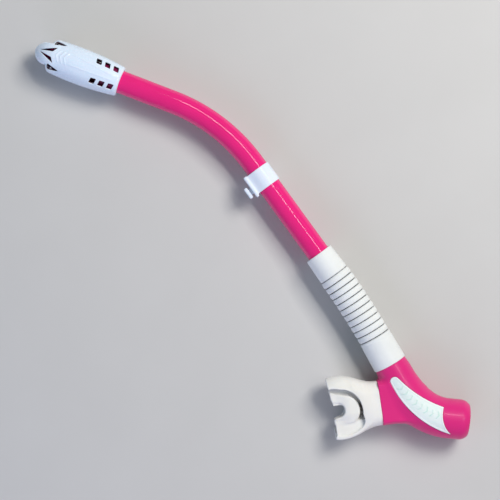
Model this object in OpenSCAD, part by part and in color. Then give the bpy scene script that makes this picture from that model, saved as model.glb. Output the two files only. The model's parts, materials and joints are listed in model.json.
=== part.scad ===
// Snorkel with a vented dry cap, a bent barrel, a sliding strap keeper,
// a corrugated hose and a lower body that carries the mouthpiece and the purge valve.
// The snorkel lies on its side. The origin is on the barrel's axis, at the keeper.
// +X runs along the straight barrel to the cap, +Y is the wearer's side, +Z is up.

/* [Barrel] */
// Outside diameter of the barrel
tube_od = 18.5; // [18:0.1:18.8]
// Wall thickness of the barrel
tube_wall = 1.5; // [1.2:0.1:1.8]
// Straight length from the keeper down to the barrel's lower end
lower_run = 94; // [92:1:95]
// Straight length from the keeper up to the start of the bend
upper_run = 13; // [12:1:30]
// Radius of the bend, on the barrel's axis
bend_radius = 144; // [120:1:170]
// Angle of the bend
bend_angle = 33; // [25:1:40]
// Straight length from the bend to the cap's lower end
top_run = 45.5; // [40:0.5:70]

/* [Cap] */
// Largest radius of the cap
cap_r = 14.9; // [14.8:0.1:15.5]
// Wall thickness of the cap
cap_wall = 1.5; // [1.3:0.1:1.6]
// Length of the cap up to its shoulder
cap_body_len = 62; // [61:0.5:66]
// Radius of the nose dome
nose_r = 9; // [8.5:0.1:9.5]
// Side of one drain slot
slot_size = 4.2; // [3.5:0.1:4.6]
// Rows of drain slots round the cap
slot_rows = 4; // [2:1:4]

/* [Valve] */
// Travel of the float
float_travel = 3.2; // [2:0.1:3.6]
// Height of the float ring
float_h = 15; // [10:0.5:15.5]
// Angle of the open flap
flap_open = 25; // [15:1:28]

/* [Keeper] */
// Length of the keeper's band along the barrel
keeper_len = 16.7; // [14:0.1:20]
// Wall thickness of the band
keeper_wall = 1.1; // [1:0.1:1.6]
// Length of the strap button's head
button_len = 9.8; // [8:0.1:12]

/* [Hose] */
// Number of ribs
rib_count = 11; // [8:1:12]
// Distance from rib to rib
rib_pitch = 5.4; // [4.8:0.1:5.4]
// Radius over the ribs
rib_r = 13; // [12.5:0.1:13.4]
// Depth of the grooves
groove_depth = 1.2; // [0.8:0.1:1.4]
// Bend of the hose at rest
hose_bend = 6; // [5:1:8]

/* [Lower body] */
// Radius of the purge drum
drum_r = 16.2; // [16:0.1:16.8]
// Bend from the hose to the purge drum
body_bend = 54; // [50:1:58]
// Width of the mouthpiece port
port_w = 35.9; // [34:0.1:36.5]
// Height of the mouthpiece port
port_h = 24; // [22:0.5:25]
// Travel of the purge diaphragm's rim
purge_travel = 1; // [0.5:0.1:1.2]

/* [Mouthpiece] */
// Width of the lip flange
flange_w = 51; // [48:0.5:54]
// Height of the lip flange
flange_h = 30; // [28:0.5:31]
// Gap between the two bite tabs
notch_w = 13.2; // [11:0.1:14]

/* [Hidden] */
$fn = 96;
// clearance of a push fit and of a running fit
fit = 0.05;
// a bend stands this much proud of its straight runs, and they lap into it by lap
skin = 0.1;
lap = 0.4;

tube_r = tube_od / 2;
bore_r = tube_r - tube_wall;
bend_start = [upper_run, 0];
bend_end = bend_start + bend_radius * [sin(bend_angle), 1 - cos(bend_angle)];
cap_dir = [cos(bend_angle), sin(bend_angle)];
cap_base = bend_end + top_run * cap_dir;

// heights inside the cap, from its lower end
sleeve_low = 3;
tube_top = 16.8;
gasket_t = 1;
duct_low = tube_top + gasket_t + 2 * fit;
plate_low = 23.4;
plate_t = 1.5;
float_low = plate_low + plate_t + 0.3;
duct_top = 46;
seat_t = 1.2;
seal_t = 1;
flap_t = 1.4;
sleeve_r = tube_r + 1.25;
duct_r = 8.6;
duct_bore_r = 7.4;
float_in_r = duct_r + 0.3;
float_out_r = cap_r - cap_wall - 0.7;
slot_pitch = 7.45;
slot_first = 5.4;
slot_row_angle = 39;
window_count = 8;
nose_at = cap_body_len + 2.5;

// splash guard under the vent windows, held by a stud in the nose
guard_r = 5.6;
guard_mouth_r = 10.8;
guard_t = 1.2;
guard_low = 51.3;
guard_mouth_end = cap_body_len - 6.5;
guard_neck_at = cap_body_len - 1.8;
guard_dome_at = nose_at - 1.5;
stud_r = 2;
stud_top = nose_at + nose_r - 2.5;
boss_low = guard_dome_at + guard_r + 0.3;
boss_r = 3.6;

// hinge of the flap, in the cap's own plane
hinge_y = -9.4;
hinge_s = duct_top + seat_t + 1.6;
pin_r = 0.8;
ear_gap = 6.2;
ear_t = 1.2;
ear_back = 1.7;
ear_w = 3;
ear_foot_w = 4;
ear_low = float_low + float_h + float_travel + 0.2;
flap_r = 7.9;
lug_r = 1.5;
tail_y = -12.3;
tail_w = 2.6;
tail_t = 1.4;
tail_under = 0.6;

// post on the float that lifts the flap's tail
post_y = -12.8;
post_w = 2.4;
post_t = 1.6;
post_top = hinge_s - tail_under - 0.1 - float_travel;

// keeper
lip_y = 12.5;
lip_t = 2.4;
lip_len = 19;
lip_x = -1.9;
button_x = -4.6;
button_t = 2.8;
button_y = 16;
button_neck_len = 5;
button_neck_w = 4;
button_w = 12;
strap_w = 14;
// the band stands off the button's middle toward the barrel's lower end
band_x = -9.55;

// hose
cuff_top = -77.3;
rib_start = -99.5;
rib_run = rib_count * rib_pitch;
hose_radius = rib_run / (hose_bend * PI / 180);
cuff_top_r = 12.1;
lower_cuff_len = 25.2;
lower_cuff_r = 13.6;
spigot_r = 10.5;
spigot_bore_r = 8.6;
spigot_len = 16;
groove_w = 1.1;
rib_end = [
    rib_start - hose_radius * sin(hose_bend),
    hose_radius * (1 - cos(hose_bend))
];
hose_dir = 180 - hose_bend;
body_base = rib_end + lower_cuff_len * [cos(hose_dir), sin(hose_dir)];

// lower body, measured along its duct from the end of the hose
collar_r = 13.2;
neck_run = 16;
neck_r = 14.2;
flare_run = 9.3;
duct_bend_r = 45;
drum_run = 16.4;
drum_round = 5.2;
purge_hole_r = 12.6;
purge_depth = 13;
seat_plate_t = 2;
seat_hole_r = 2.7;
seat_hole_at = 6.6;
diaphragm_t = 0.9;
diaphragm_r = 11;
stem_r = 1.5;
barb_r = 2.4;
barb_t = 1.2;
grille_t = 1.8;
grille_inset = 0.8;
grille_ring_t = 0.95;
grille_slot = 2;
grille_pitch = 4.2;

// mouthpiece port, seen from the lower body
port_at = [23.1, -23.1];
port_turn = -111.7;
port_corner = 11;
port_spigot_len = 8;
port_wall = 2.5;
port_reach = 22;
web_fair_r = 35;
web_h = 19;
web_far = -36;
web_near = -8;

// leaf outline of the side panels: [x, y, r] of its arcs, and where it ends at the drum
panel_t = 0.9;
leaf_outer = [17.7, 72, 80.1];
leaf_inner = [-11.4, 90.5, 94.1];
leaf_drum = [68.5, 36.8, 24.3];
leaf_tip = [12.4, -4.4, 3.4];
leaf_end_x = 70.5;

// mouthpiece, measured from the port's face
mouth_neck_len = 15;
flange_at = 38;
flange_hollow_at = 41;
flange_t = 2.2;
flange_end = 39;
air_boss_from = 12;
air_boss_len = 16;
air_boss_w = 23;
air_boss_h = 13;
bite_at = 29.5;
bite_r = 12.2;
bite_len = 7.5;
bite_t = 5;
notch_at = 35.5;
air_w = 15;
air_h = 7;

// ---------- places ----------

// the cap: +Z along the cap, -X up, +Y to the wearer's side
module at_cap() {
    translate([cap_base.x, cap_base.y, 0])
        rotate([0, 0, bend_angle])
            rotate([0, 90, 0])
                children();
}

// the start of the lower body: +X along its duct, +Y away from the mouthpiece
module at_body() {
    translate([body_base.x, body_base.y, 0])
        rotate([0, 0, hose_dir])
            children();
}

// the purge drum's end face: +X out of the drum
module at_drum_end() {
    at_body()
        translate([neck_run + flare_run, duct_bend_r, 0])
            rotate([0, 0, body_bend])
                translate([drum_run, -duct_bend_r, 0])
                    children();
}

// the port's face: +X into the mouth, +Y to the purge side
module at_port() {
    at_body()
        translate([port_at.x, port_at.y, 0])
            rotate([0, 0, port_turn])
                children();
}

// turns a flat outline so that its X lies along Y, its Y along Z and it grows along +X
module along_x(len) {
    rotate([90, 0, 90])
        linear_extrude(len)
            children();
}

// a rod along +X
module rod(r, len) {
    rotate([0, 90, 0])
        cylinder(r = r, h = len);
}

// a cone along +X
module cone(r1, r2, len) {
    rotate([0, 90, 0])
        cylinder(r1 = r1, r2 = r2, h = len);
}

// a bend that starts along +X and turns toward +Y, with the section of its child
module bend(bend_r, angle) {
    translate([0, bend_r, 0])
        rotate([0, 0, -90])
            rotate_extrude(angle = angle)
                translate([bend_r, 0])
                    children();
}

module ring(outer, inner) {
    difference() {
        circle(outer);
        circle(inner);
    }
}

// an oval with flat top and bottom, w wide and h high
module port_outline(w, h) {
    r = min(port_corner, h / 2 - 0.1);
    for (side = [-1, 1], lift = [-1, 1])
        translate([side * (w / 2 - r), lift * (h / 2 - r)])
            circle(r);
    square([w - 2 * r, h], center = true);
    square([w, h - 2 * r], center = true);
}

// ---------- barrel ----------

module barrel_tube() {
    color("#e8257f") {
        translate([-lower_run, 0, 0])
            rotate([0, 90, 0])
                linear_extrude(lower_run + upper_run + lap)
                    ring(tube_r, bore_r);
        translate([upper_run, 0, 0])
            bend(bend_radius, bend_angle)
                ring(tube_r + skin, bore_r - skin);
        at_cap()
            translate([0, 0, -top_run - lap])
                linear_extrude(top_run + tube_top + lap)
                    ring(tube_r, bore_r);
    }
}

// ---------- cap ----------

// radius of the cap's outside at a height s
function cap_radius(s) = cap_r - pow(s - 37, 2) / 500;

// half section of the cap, drawn inset by a wall
module cap_section(inset) {
    top = cap_body_len - inset;
    shoulder = 6;
    low = inset > 0 ? sleeve_low - 0.2 : 0;
    polygon(concat(
        [[0, low], [cap_radius(3) - 1.3 - inset, low]],
        [for (s = [3 : 5 : 53]) [cap_radius(s) - inset, s]],
        [for (a = [0 : 15 : 75]) [
            cap_radius(56) - shoulder + shoulder * cos(a) - inset,
            top - shoulder + shoulder * sin(a)
        ]],
        [[nose_r - 1, top], [0, top]]
    ));
}

module cap_outside() {
    rotate_extrude()
        cap_section(0);
    translate([0, 0, nose_at])
        sphere(nose_r);
}

module cap_inside() {
    difference() {
        union() {
            rotate_extrude()
                cap_section(cap_wall);
            translate([0, 0, nose_at])
                sphere(nose_r - cap_wall);
        }
        // boss in the nose for the splash guard's stud
        translate([0, 0, boss_low])
            cylinder(r = boss_r, h = 20);
    }
}

// one vent window, a triangle with its point at the nose
module vent_window(w) {
    rotate([90, 0, 90])
        linear_extrude(20)
            polygon([[-w, 57.5], [w, 58.5], [0.6, 68.5], [-0.6, 68.5]]);
}

module cap_shell() {
    color("#f3f6f9")
        at_cap()
            difference() {
                cap_outside();
                cap_inside();
                // collar hole round the barrel
                translate([0, 0, -1])
                    cylinder(r = tube_r + fit, h = sleeve_low + 2);
                // hole for the splash guard's stud
                translate([0, 0, boss_low - 1])
                    cylinder(r = stud_r + fit, h = stud_top + 0.1 - boss_low + 1);
                // drain slots
                for (row = [0 : slot_rows - 1], n = [0 : 2])
                    rotate([0, 0, (row < 2 ? 180 : 0) + (row % 2 == 0 ? 1 : -1) * slot_row_angle])
                        translate([cap_r, 0, slot_first + n * slot_pitch])
                            cube([8, slot_size * 0.9, slot_size], center = true);
                // vent windows round the nose
                for (n = [0 : window_count - 1])
                    rotate([0, 0, (n + 0.5) * 360 / window_count])
                        translate([2, 0, 0])
                            vent_window(2.6);
            }
}

// solid of the bell that keeps splashes off the flap, inset by a wall
module guard_solid(inset) {
    translate([0, 0, guard_low - inset])
        cylinder(r = guard_mouth_r - inset, h = guard_mouth_end - guard_low + inset);
    translate([0, 0, guard_mouth_end])
        cylinder(r1 = guard_mouth_r - inset, r2 = guard_r - inset, h = guard_neck_at - guard_mouth_end);
    translate([0, 0, guard_neck_at])
        cylinder(r = guard_r - inset, h = guard_dome_at - guard_neck_at);
    translate([0, 0, guard_dome_at])
        sphere(guard_r - inset);
}

module splash_guard() {
    color("#c2146b")
        at_cap() {
            difference() {
                guard_solid(0);
                guard_solid(guard_t);
            }
            translate([0, 0, guard_dome_at + guard_r - 0.8])
                cylinder(r = stud_r, h = stud_top - guard_dome_at - guard_r + 0.8);
        }
}

// ---------- dry valve ----------

module valve_housing() {
    color("#c2146b")
        at_cap()
            difference() {
                union() {
                    translate([0, 0, sleeve_low])
                        cylinder(r = sleeve_r, h = duct_low - sleeve_low + 1.5);
                    cylinder(r = duct_r, h = duct_top);
                    // plate that centres the cap and carries the float at rest
                    translate([0, 0, plate_low])
                        cylinder(r = cap_radius(plate_low) - cap_wall - 0.15, h = plate_t);
                    hinge_ears();
                }
                translate([0, 0, -1])
                    cylinder(r = tube_r + fit, h = duct_low + 1);
                cylinder(r = duct_bore_r, h = duct_top + 1);
                // drain holes in the plate
                for (n = [0 : 11])
                    rotate([0, 0, n * 30])
                        translate([10.9, 0, plate_low - 1])
                            cylinder(r = 1.6, h = plate_t + 2, $fn = 32);
                at_hinge()
                    translate([0, 0, -6])
                        cylinder(r = pin_r + fit, h = 12, $fn = 32);
            }
}

// the flap's hinge: +Z along the pin
module at_hinge() {
    translate([0, hinge_y, hinge_s])
        rotate([0, 90, 0])
            children();
}

module hinge_ears() {
    for (side = [-1, 1])
        translate([side * (ear_gap + ear_t) / 2 - ear_t / 2, hinge_y - ear_back, ear_low]) {
            cube([ear_t, ear_foot_w, duct_top - ear_low]);
            cube([ear_t, ear_w, hinge_s + ear_back - ear_low]);
        }
}

module tube_gasket() {
    color("#d9dde0")
        at_cap()
            translate([0, 0, tube_top + fit])
                difference() {
                    cylinder(r = tube_r, h = gasket_t);
                    translate([0, 0, -1])
                        cylinder(r = bore_r, h = gasket_t + 2);
                }
}

module seat_gasket() {
    color("#d9dde0")
        at_cap()
            translate([0, 0, duct_top + 0.02])
                difference() {
                    cylinder(r = duct_r - 1.1, h = seat_t);
                    translate([0, 0, -1])
                        cylinder(r = duct_bore_r - 1.2, h = seat_t + 2);
                }
}

module float() {
    color("#f0f0ea")
        at_cap()
            difference() {
                union() {
                    translate([0, 0, float_low])
                        cylinder(r = float_out_r, h = float_h);
                    translate([-post_w / 2, post_y, float_low + float_h - 1])
                        cube([post_w, post_t, post_top - float_low - float_h + 1]);
                }
                translate([0, 0, float_low - 1])
                    cylinder(r = float_in_r, h = float_h + 2);
            }
}

// the flap's parts in the closed position are turned open round the hinge
module opened() {
    at_cap()
        translate([0, hinge_y, hinge_s])
            rotate([flap_open, 0, 0])
                translate([0, -hinge_y, -hinge_s])
                    children();
}

module flap_arm() {
    disc_low = duct_top + seat_t + seal_t + 0.1;
    color("#c2146b")
        opened()
            difference() {
                union() {
                    translate([0, 0, disc_low])
                        cylinder(r = flap_r, h = flap_t);
                    // lug and tail
                    translate([-ear_gap / 2 + 0.2, hinge_y, disc_low])
                        cube([ear_gap - 0.4, 3, flap_t]);
                    at_hinge()
                        translate([0, 0, -ear_gap / 2 + 0.2])
                            cylinder(r = lug_r, h = ear_gap - 0.4, $fn = 48);
                    translate([-tail_w / 2, tail_y, hinge_s - tail_under])
                        cube([tail_w, hinge_y - tail_y, tail_t]);
                }
                at_hinge()
                    translate([0, 0, -6])
                        cylinder(r = pin_r + fit, h = 12, $fn = 32);
            }
}

module flap_seal() {
    color("#e4e7e9")
        opened()
            translate([0, 0, duct_top + seat_t + 0.06])
                cylinder(r = flap_r - 0.7, h = seal_t);
}

module flap_pin() {
    color("#b9bdc2")
        at_cap()
            at_hinge()
                translate([0, 0, -(ear_gap / 2 + ear_t)])
                    cylinder(r = pin_r, h = ear_gap + 2 * ear_t, $fn = 32);
}

// ---------- keeper ----------

module strap_keeper() {
    band_r = tube_r + fit + keeper_wall;
    color("#f3f6f9")
        difference() {
            union() {
                translate([band_x, 0, 0])
                    rod(band_r, keeper_len);
                // web between the band and the lip plate
                translate([band_x, 2, -button_w / 2])
                    cube([keeper_len, lip_y - 3, button_w]);
                translate([lip_x - lip_len / 2, lip_y - lip_t / 2, -strap_w / 2])
                    cube([lip_len, lip_t, strap_w]);
                // neck and head of the strap button
                translate([button_x - button_neck_len / 2, lip_y, -button_neck_w / 2])
                    cube([button_neck_len, button_y - lip_y + 1, button_neck_w]);
                translate([button_x - button_len / 2, button_y, -button_w / 2])
                    cube([button_len, button_t, button_w]);
            }
            translate([-keeper_len, 0, 0])
                rod(tube_r + fit, 2 * keeper_len);
        }
}

// ---------- hose ----------

// a place on the hose's ribbed run, at a distance from its start: +X along the hose
module at_hose(run) {
    turn = run / rib_run * hose_bend;
    translate([rib_start, hose_radius, 0])
        rotate([0, 0, -turn])
            translate([0, -hose_radius, 0])
                rotate([0, 0, 180])
                    children();
}

module hose_core(r) {
    translate([rib_start, hose_radius, 0])
        rotate([0, 0, -90 - hose_bend])
            rotate_extrude(angle = hose_bend)
                translate([hose_radius, 0])
                    circle(r);
}

module flex_hose() {
    groove_r = rib_r - groove_depth;
    color("#eef0ee")
        difference() {
            union() {
                at_hose(0)
                    translate([rib_start - cuff_top, 0, 0])
                        rod(cuff_top_r, cuff_top - rib_start + lap);
                hose_core(groove_r);
                for (n = [0 : rib_count - 1])
                    at_hose((n + 0.5) * rib_pitch)
                        translate([-(rib_pitch - groove_w) / 2, 0, 0])
                            rod(rib_r, rib_pitch - groove_w);
                at_hose(rib_run)
                    translate([-lap, 0, 0])
                        rod(lower_cuff_r, lower_cuff_len + lap);
            }
            at_hose(0) {
                translate([rib_start - cuff_top - 1, 0, 0])
                    rod(tube_r + fit, 1 + cuff_top + lower_run + fit);
                translate([rib_start - cuff_top - 1, 0, 0])
                    rod(bore_r, 1 + cuff_top - rib_start + lap);
            }
            hose_core(bore_r + skin);
            at_hose(rib_run) {
                translate([-lap, 0, 0])
                    rod(bore_r, lower_cuff_len + 1);
                translate([lower_cuff_len - spigot_len - 2 * fit, 0, 0])
                    rod(spigot_r + fit, spigot_len + 1);
            }
        }
}

// ---------- lower body ----------

// the duct from the hose to the drum, grown by extra
module duct_outside(extra) {
    at_body() {
        translate([fit, 0, 0])
            cone(collar_r + extra, neck_r + extra, neck_run - fit);
        translate([neck_run, 0, 0])
            cone(neck_r + extra, drum_r + extra, flare_run);
        translate([neck_run + flare_run, 0, 0])
            bend(duct_bend_r, body_bend)
                circle(drum_r + extra);
    }
    at_drum_end()
        translate([-drum_run - lap, 0, 0])
            rotate([0, 90, 0])
                rotate_extrude()
                    drum_section(drum_r - skin + extra, drum_run + lap + extra, drum_round + extra);
}

// half section of the drum, with its rim rounded
module drum_section(r, len, round_r) {
    square([r, len - round_r]);
    square([r - round_r, len]);
    translate([r - round_r, len - round_r])
        intersection() {
            circle(round_r);
            square(round_r);
        }
}

// plan of the web that fairs the port into the drum side of the duct
module web_plan() {
    difference() {
        translate([web_far, 8])
            square([web_near - web_far, port_w / 2 + 5]);
        translate([web_near, port_w / 2 + web_fair_r])
            circle(web_fair_r, $fn = 180);
    }
}

module body_outside(extra) {
    duct_outside(extra);
    at_port() {
        translate([-port_reach, 0, 0])
            along_x(port_reach)
                port_outline(port_w + 2 * extra, port_h + 2 * extra);
        translate([0, 0, -web_h / 2 - extra])
            linear_extrude(web_h + 2 * extra)
                web_plan();
    }
}

// the air space of the duct and the port
module body_inside() {
    at_body() {
        translate([-spigot_len - 1, 0, 0])
            rod(spigot_bore_r, spigot_len + 1 + neck_run);
        translate([neck_run, 0, 0])
            cone(spigot_bore_r, purge_hole_r, flare_run);
        translate([neck_run + flare_run, 0, 0])
            bend(duct_bend_r, body_bend)
                circle(purge_hole_r);
    }
    at_drum_end()
        translate([-drum_run - lap, 0, 0])
            rod(purge_hole_r + skin, drum_run + lap + 1);
    at_port()
        translate([-port_reach, 0, 0])
            along_x(port_reach + port_spigot_len + 1)
                port_outline(port_w - 4 * port_wall, port_h - 4 * port_wall);
}

module lower_body() {
    color("#da3280")
        difference() {
            union() {
                body_outside(0);
                // spigots for the hose and the mouthpiece
                at_body()
                    translate([-spigot_len, 0, 0])
                        rod(spigot_r, spigot_len + 1);
                at_port()
                    translate([-1, 0, 0])
                        along_x(port_spigot_len + 1)
                            port_outline(port_w - 2 * port_wall, port_h - 2 * port_wall);
            }
            body_inside();
        }
}

// ---------- side panels ----------

// leaf outline on the duct: a round end at the hose and a hollow end at the drum
module panel_outline() {
    at_body()
        difference() {
            union() {
                difference() {
                    leaf_arc(leaf_outer);
                    translate([leaf_tip.x - 100, -50])
                        square([100, 200]);
                }
                leaf_arc(leaf_tip);
            }
            leaf_arc(leaf_inner);
            leaf_arc(leaf_drum);
            translate([leaf_end_x, -50])
                square([60, 200]);
        }
}

module leaf_arc(arc) {
    translate([arc.x, arc.y])
        circle(arc.z, $fn = 240);
}

module side_panel() {
    difference() {
        intersection() {
            duct_outside(panel_t);
            translate([0, 0, 4])
                linear_extrude(20)
                    panel_outline();
        }
        body_outside(fit);
    }
}

module side_panel_front() {
    color("#f4f7f8")
        side_panel();
}

module side_panel_back() {
    color("#f4f7f8")
        mirror([0, 0, 1])
            side_panel();
}

// ---------- purge valve ----------

module purge_seat() {
    color("#f1f1ee")
        at_drum_end()
            translate([-purge_depth, 0, 0])
                difference() {
                    rod(purge_hole_r - fit, seat_plate_t);
                    translate([-1, 0, 0])
                        rod(stem_r + fit, seat_plate_t + 2);
                    for (n = [0 : 5])
                        rotate([n * 60, 0, 0])
                            translate([-1, seat_hole_at, 0])
                                rod(seat_hole_r, seat_plate_t + 2);
                }
}

module purge_diaphragm() {
    color("#e9ebec")
        at_drum_end()
            translate([-purge_depth, 0, 0]) {
                translate([seat_plate_t + fit, 0, 0])
                    rod(diaphragm_r, diaphragm_t);
                translate([-purge_travel - 1, 0, 0])
                    rod(stem_r, seat_plate_t + purge_travel + 1.5);
                // barb that keeps the stem in the seat
                translate([-purge_travel - fit - barb_t, 0, 0])
                    rod(barb_r, barb_t);
            }
}

module purge_cover() {
    color("#da3280")
        at_drum_end()
            difference() {
                union() {
                    translate([-grille_t - grille_inset, 0, 0])
                        rod(purge_hole_r - fit, grille_t);
                    // ring that holds the valve seat in place
                    difference() {
                        translate([-purge_depth + seat_plate_t + fit, 0, 0])
                            rod(purge_hole_r - fit, purge_depth - seat_plate_t - 1);
                        translate([-purge_depth, 0, 0])
                            rod(purge_hole_r - fit - grille_ring_t, purge_depth - 2);
                    }
                }
                for (n = [-2 : 2])
                    translate([-1, n * grille_pitch, 0])
                        cube([8, grille_slot, 17 - abs(n) * 3], center = true);
            }
}

// ---------- mouthpiece ----------

// plan of the lip flange, curved round the teeth
module flange_plan() {
    difference() {
        translate([flange_at, 0])
            circle(flange_w / 2);
        translate([flange_hollow_at, 0])
            circle(flange_w / 2 - flange_t);
        translate([flange_end, -50])
            square([60, 100]);
    }
}

// plan of the bite platform: a horseshoe round the notch
module bite_plan() {
    difference() {
        union() {
            translate([bite_at, 0])
                circle(bite_r);
            translate([bite_at, -bite_r])
                square([bite_len, 2 * bite_r]);
        }
        translate([notch_at, 0])
            circle(notch_w / 2);
        translate([notch_at, -notch_w / 2])
            square([20, notch_w]);
    }
}

module mouthpiece() {
    color("#f1efe6")
        at_port()
            difference() {
                union() {
                    translate([fit, 0, 0])
                        along_x(mouth_neck_len)
                            port_outline(port_w, port_h);
                    // lip flange
                    intersection() {
                        translate([0, 0, -20])
                            linear_extrude(40)
                                flange_plan();
                        along_x(60)
                            port_outline(60, flange_h);
                    }
                    // air boss and bite tabs
                    translate([air_boss_from, 0, 0])
                        along_x(air_boss_len)
                            port_outline(air_boss_w, air_boss_h);
                    translate([0, 0, -bite_t / 2])
                        linear_extrude(bite_t)
                            bite_plan();
                }
                // socket for the port's spigot, and the air hole
                translate([-1, 0, 0])
                    along_x(port_spigot_len + 2)
                        port_outline(port_w - 2 * port_wall + 2 * fit, port_h - 2 * port_wall + 2 * fit);
                along_x(34)
                    port_outline(air_w, air_h);
                translate([port_spigot_len, 0, 0])
                    along_x(5)
                        port_outline(24, 11);
            }
}

cap_shell();
splash_guard();
valve_housing();
tube_gasket();
seat_gasket();
float();
flap_arm();
flap_seal();
flap_pin();
barrel_tube();
strap_keeper();
flex_hose();
lower_body();
side_panel_front();
side_panel_back();
purge_seat();
purge_diaphragm();
purge_cover();
mouthpiece();
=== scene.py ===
"""Looks of the snorkel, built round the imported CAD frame.

Lengths in the shape functions are millimetres, as in the CAD source. Meshes are written in metres.
The barrel and the hose are swept tubes. Each of the other remodelled parts is the zero surface of a distance
field, which is negative inside and positive outside. The small inner parts are the CAD's own.
"""
import json
import math

import bmesh
import bpy
import numpy as np
from mathutils import Matrix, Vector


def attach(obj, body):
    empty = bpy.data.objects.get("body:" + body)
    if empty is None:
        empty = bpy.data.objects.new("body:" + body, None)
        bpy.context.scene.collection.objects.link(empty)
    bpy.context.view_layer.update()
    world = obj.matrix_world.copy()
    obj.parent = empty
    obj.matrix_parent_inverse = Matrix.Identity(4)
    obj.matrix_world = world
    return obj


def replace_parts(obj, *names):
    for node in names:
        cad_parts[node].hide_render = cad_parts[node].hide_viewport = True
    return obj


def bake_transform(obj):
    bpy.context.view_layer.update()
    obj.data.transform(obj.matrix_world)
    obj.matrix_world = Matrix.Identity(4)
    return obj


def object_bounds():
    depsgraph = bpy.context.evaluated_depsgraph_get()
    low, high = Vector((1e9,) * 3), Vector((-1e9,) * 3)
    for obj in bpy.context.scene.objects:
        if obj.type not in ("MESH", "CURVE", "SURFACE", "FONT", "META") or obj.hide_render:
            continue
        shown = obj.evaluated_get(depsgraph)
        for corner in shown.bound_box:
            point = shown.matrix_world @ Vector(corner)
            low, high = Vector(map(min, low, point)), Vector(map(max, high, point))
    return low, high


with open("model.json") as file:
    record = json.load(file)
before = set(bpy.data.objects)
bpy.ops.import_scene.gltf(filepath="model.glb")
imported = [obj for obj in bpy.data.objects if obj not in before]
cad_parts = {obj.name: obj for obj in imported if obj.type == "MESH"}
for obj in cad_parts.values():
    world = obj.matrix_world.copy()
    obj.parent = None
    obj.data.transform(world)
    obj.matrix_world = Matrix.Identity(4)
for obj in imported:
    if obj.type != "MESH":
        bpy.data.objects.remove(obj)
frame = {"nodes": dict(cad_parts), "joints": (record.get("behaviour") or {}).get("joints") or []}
CAD_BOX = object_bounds()
MM = 0.001

CAP_CELL = 0.36
KEEPER_CELL = 0.3
BODY_CELL = 0.5
PANEL_CELL = 0.26
MOUTH_CELL = 0.42
COVER_CELL = KEEPER_CELL
# points round a swept tube
AROUND = 128


# -------------------- places taken from the frame

def joint(name):
    """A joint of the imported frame, by name."""
    return next(j for j in frame["joints"] if j["name"] == name)


def node_points(name):
    """Vertices of a CAD node at rest, in millimetres."""
    verts = frame["nodes"][name].data.vertices
    co = np.empty(3 * len(verts), np.float64)
    verts.foreach_get("co", co)
    return co.reshape(-1, 3) / MM


# -------------------- distance fields

def smooth_step(x, low, high):
    """0 below low, 1 above high, and a smooth rise between them."""
    t = np.clip((x - low) / (high - low), 0, 1)
    return t * t * (3 - 2 * t)


def join(a, b, k):
    """Union with a fillet of about k."""
    h = np.clip(0.5 + 0.5 * (b - a) / k, 0, 1)
    return b + (a - b) * h - k * h * (1 - h)


def meet(a, b, k):
    """Intersection with a rounded edge of about k."""
    return -join(-a, -b, k)


def cut(a, b, k):
    """a without b, with a rounded edge of about k."""
    return -join(-a, b, k)


def corner(a, b, r):
    """Intersection of two half spaces with a true round edge of radius r."""
    a, b = a + r, b + r
    return np.minimum(np.maximum(a, b), 0) + np.hypot(np.maximum(a, 0), np.maximum(b, 0)) - r


def box2(x, y, half_x, half_y, r):
    """Rectangle with corner radius r."""
    dx, dy = np.abs(x) - half_x + r, np.abs(y) - half_y + r
    return np.minimum(np.maximum(dx, dy), 0) + np.hypot(np.maximum(dx, 0), np.maximum(dy, 0)) - r


def slab(x, low, high):
    """Space between two parallel planes."""
    return np.maximum(low - x, x - high)


def disc(x, y, cx, cy, r):
    """Disc round a centre."""
    return np.hypot(x - cx, y - cy) - r


def segment(x, y, ax, ay, bx, by):
    """Distance to a line segment."""
    dx, dy = bx - ax, by - ay
    t = np.clip(((x - ax) * dx + (y - ay) * dy) / (dx * dx + dy * dy), 0, 1)
    return np.hypot(x - ax - t * dx, y - ay - t * dy)


def polygon2(x, y, points):
    """Signed distance to a closed polygon."""
    best = np.full(np.shape(x), 1e9)
    inside = np.zeros(np.shape(x), bool)
    for (ax, ay), (bx, by) in zip(points, points[1:] + points[:1]):
        best = np.minimum(best, segment(x, y, ax, ay, bx, by))
        if ay != by:
            crossing = (ay > y) != (by > y)
            inside ^= crossing & (x < (bx - ax) * (y - ay) / (by - ay) + ax)
    return np.where(inside, -best, best)


def grid_reader(grid, low, step):
    """A function of x and y that reads between the values of a grid, which starts at low."""
    def read(x, y):
        u = np.clip((x - low[0]) / step, 0, grid.shape[0] - 1.001)
        v = np.clip((y - low[1]) / step, 0, grid.shape[1] - 1.001)
        i, j = u.astype(int), v.astype(int)
        u, v = u - i, v - j
        near = grid[i, j] * (1 - v) + grid[i, j + 1] * v
        far = grid[i + 1, j] * (1 - v) + grid[i + 1, j + 1] * v
        return near * (1 - u) + far * u
    return read


def polygon_table(points, low, high, step=0.15):
    """Signed distance to a closed polygon, read from a grid."""
    xs = np.arange(low[0], high[0] + step, step)
    ys = np.arange(low[1], high[1] + step, step)
    return grid_reader(polygon2(*np.meshgrid(xs, ys, indexing="ij"), points), low, step)


def neighbours(axis, dims):
    """Indices that pick every grid point but the last along an axis, and the point after each."""
    here, ahead = [slice(None)] * dims, [slice(None)] * dims
    here[axis], ahead[axis] = slice(0, -1), slice(1, None)
    return tuple(here), tuple(ahead)


# -------------------- meshes

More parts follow.
